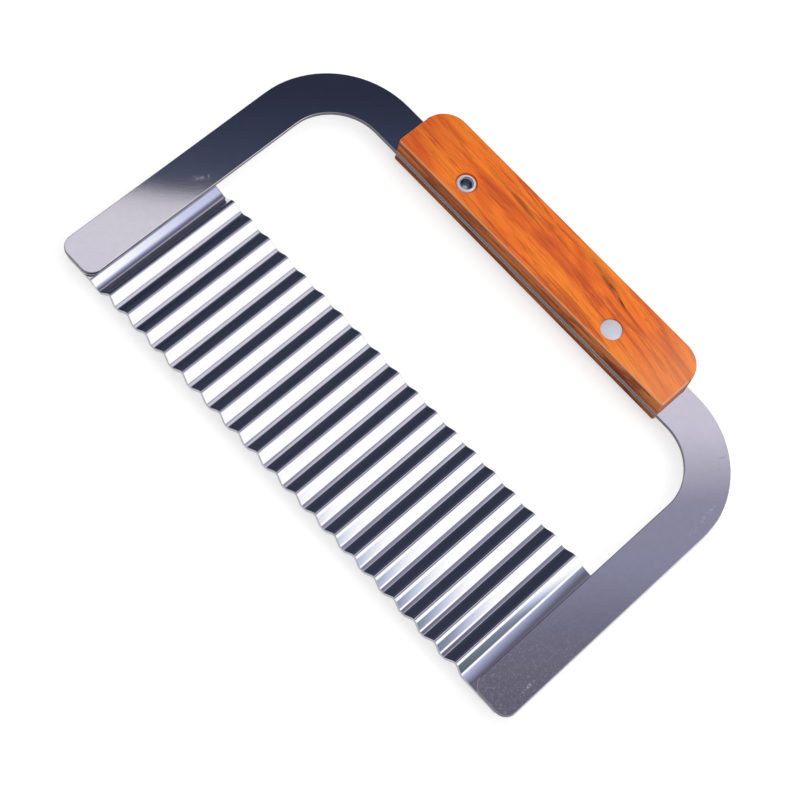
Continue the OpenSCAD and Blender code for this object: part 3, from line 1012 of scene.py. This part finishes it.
class SOAPCUTTER_OT_stage(bpy.types.Operator):
    """Set up the pale floor, the soft lamps, the studio's surroundings and the camera"""

    bl_idname = "soap_cutter.stage"
    bl_label = "Stage"

    def execute(self, context):
        s = context.scene.soap_cutter_studio
        self.lay_floor(s)
        self.surround(context.scene, s)
        self.hang_lamps(s)
        self.place_camera(context.scene, s)
        context.scene.view_settings.view_transform = "Standard"
        return {"FINISHED"}

    def lay_floor(self, s):
        """Pale floor that the camera and mirrors see as white, and that keeps the shadow."""
        half = s.floor_w / 2
        mesh = bpy.data.meshes.new("floor")
        corners = [(-half, -half), (half, -half), (half, half), (-half, half)]
        mesh.from_pydata([(*corner, -FLOOR_GAP) for corner in corners], [], [(0, 1, 2, 3)])
        material, graph, shader, _ = new_material("Pale floor")
        graph.fill(shader, Base_Color=s.floor, Roughness=1.0, Specular_IOR_Level=0.0)
        glow = graph.times(seen_ray(graph), s.glow)
        graph.fill(shader, Emission_Color=(1.0, 1.0, 1.0), Emission_Strength=glow)
        mesh.materials.append(material)
        floor = new_object("floor", mesh)

    def surround(self, scene, s):
        """World that is white to the camera, even to cloth and wood, and a studio to mirrors.

        Along ACROSS, mirrors see white walls low down, a grey band overhead, a pale strip beyond
        it and a dark navy room from there on, as STUDIO_WALLS and STUDIO_DARK list them. On both
        sides of that strip of the sky, by Y, the studio is the grey of STUDIO_SIDES.
        """
        world = bpy.data.worlds.new("Studio")
        world.use_nodes = True
        scene.world = world
        world.cycles.sampling_method = "NONE"
        graph = Graph(world.node_tree)
        way = graph.add("ShaderNodeTexCoord").outputs["Generated"]
        product = graph.add("ShaderNodeVectorMath", {"operation": "DOT_PRODUCT"}, way, ACROSS)
        across = product.outputs["Value"]
        walls, dark = self.ramp(graph, across, STUDIO_WALLS), self.ramp(graph, across, STUDIO_DARK)
        studio = graph.blend(graph.step(across, *DARK_FROM), walls, dark)
        parts = graph.parts(way)
        far, near = graph.step(parts["Y"], *FAR_SIDE), graph.step(parts["Y"], *NEAR_SIDE)
        beside = graph.calc("MAXIMUM", far, near)
        studio = graph.blend(beside, studio, self.ramp(graph, parts["Z"], STUDIO_SIDES))
        studio = graph.blend(1.0, studio, (MIRROR_GAIN,) * 3, "MULTIPLY")
        path = graph.add("ShaderNodeLightPath").outputs
        seen = graph.blend(path["Is Glossy Ray"], (s.fill,) * 3, studio)
        for ray in ("Is Transmission Ray", "Is Camera Ray"):
            seen = graph.blend(path[ray], seen, (1.0, 1.0, 1.0))
        graph.fill(world.node_tree.nodes["Background"], Color=seen)

    def ramp(self, graph, value, stops):
        """Colour of a value between the stops, each of them a value and its red, green and blue."""
        low, high = stops[0][0], stops[-1][0]
        place = graph.add("ShaderNodeMapRange", Value=value, From_Min=low, From_Max=high)
        node = graph.add("ShaderNodeValToRGB", Fac=place.outputs[0])
        elements = node.color_ramp.elements
        while len(elements) < len(stops):
            elements.new(0.5)
        for element, (at, *tint) in zip(elements, stops):
            element.position = (at - low) / (high - low)
            element.color = (*tint, 1.0)
        return node.outputs[0]

    def hang_lamps(self, s):
        """The lamps of LAMPS, each turned to the middle of the cutter and unseen in mirrors."""
        for name, power, size, place in LAMPS:
            lamp = bpy.data.lights.new(name, "AREA")
            lamp.energy, lamp.size = power * s.key, size
            holder = new_object(name, lamp)
            holder.location = place
            holder.rotation_euler = holder.location.to_track_quat("Z", "Y").to_euler()
            holder.visible_glossy = False

    def place_camera(self, scene, s):
        """Camera at the photograph's viewing angle."""
        camera = bpy.data.cameras.new("camera")
        camera.lens, camera.sensor_width = s.focal_length, 36.0
        camera.clip_start, camera.clip_end = 0.01, 20.0
        holder = new_object("camera", camera)
        holder.location, holder.rotation_euler = s.camera_at, s.camera_turn
        scene.camera = holder


def seen_ray(graph):
    """1 for what the camera, a mirror or glass sees, and 0 for light that falls on the object."""
    path = graph.add("ShaderNodeLightPath").outputs
    seen = graph.calc("MAXIMUM", path["Is Camera Ray"], path["Is Glossy Ray"])
    return graph.calc("MAXIMUM", seen, path["Is Transmission Ray"])


class VIEW3D_PT_soap_cutter(bpy.types.Panel):
    """Sizes, colours and build steps of the soap cutter"""

    bl_label = "Soap Cutter"
    bl_space_type = "VIEW_3D"
    bl_region_type = "UI"
    bl_category = "Soap Cutter"

    def draw(self, context):
        for name, group, operator in STEPS:
            box = self.layout.box()
            box.operator(operator.bl_idname)
            for key in group.__annotations__:
                box.prop(getattr(context.scene, name), key)


# The scene's property groups, and the operator that builds from each of them
STEPS = (
    ("soap_cutter_frame", SteelFrameSettings, SOAPCUTTER_OT_frame),
    ("soap_cutter_blade", WavyBladeSettings, SOAPCUTTER_OT_blade),
    ("soap_cutter_grip", WoodGripSettings, SOAPCUTTER_OT_grip),
    ("soap_cutter_rivets", RivetSettings, SOAPCUTTER_OT_rivets),
    ("soap_cutter_studio", StudioSettings, SOAPCUTTER_OT_stage),
)


def register():
    for name, group, operator in STEPS:
        bpy.utils.register_class(group)
        setattr(bpy.types.Scene, name, PointerProperty(type=group))
        bpy.utils.register_class(operator)
    bpy.utils.register_class(VIEW3D_PT_soap_cutter)


def unregister():
    bpy.utils.unregister_class(VIEW3D_PT_soap_cutter)
    for name, group, operator in reversed(STEPS):
        bpy.utils.unregister_class(operator)
        delattr(bpy.types.Scene, name)
        bpy.utils.unregister_class(group)


def main():
    register()
    bpy.ops.soap_cutter.steel_frame()
    bpy.ops.soap_cutter.wavy_blade()
    bpy.ops.soap_cutter.wood_grip()
    bpy.ops.soap_cutter.rivets()
    bpy.ops.soap_cutter.stage()


if __name__ == "__main__":
    main()
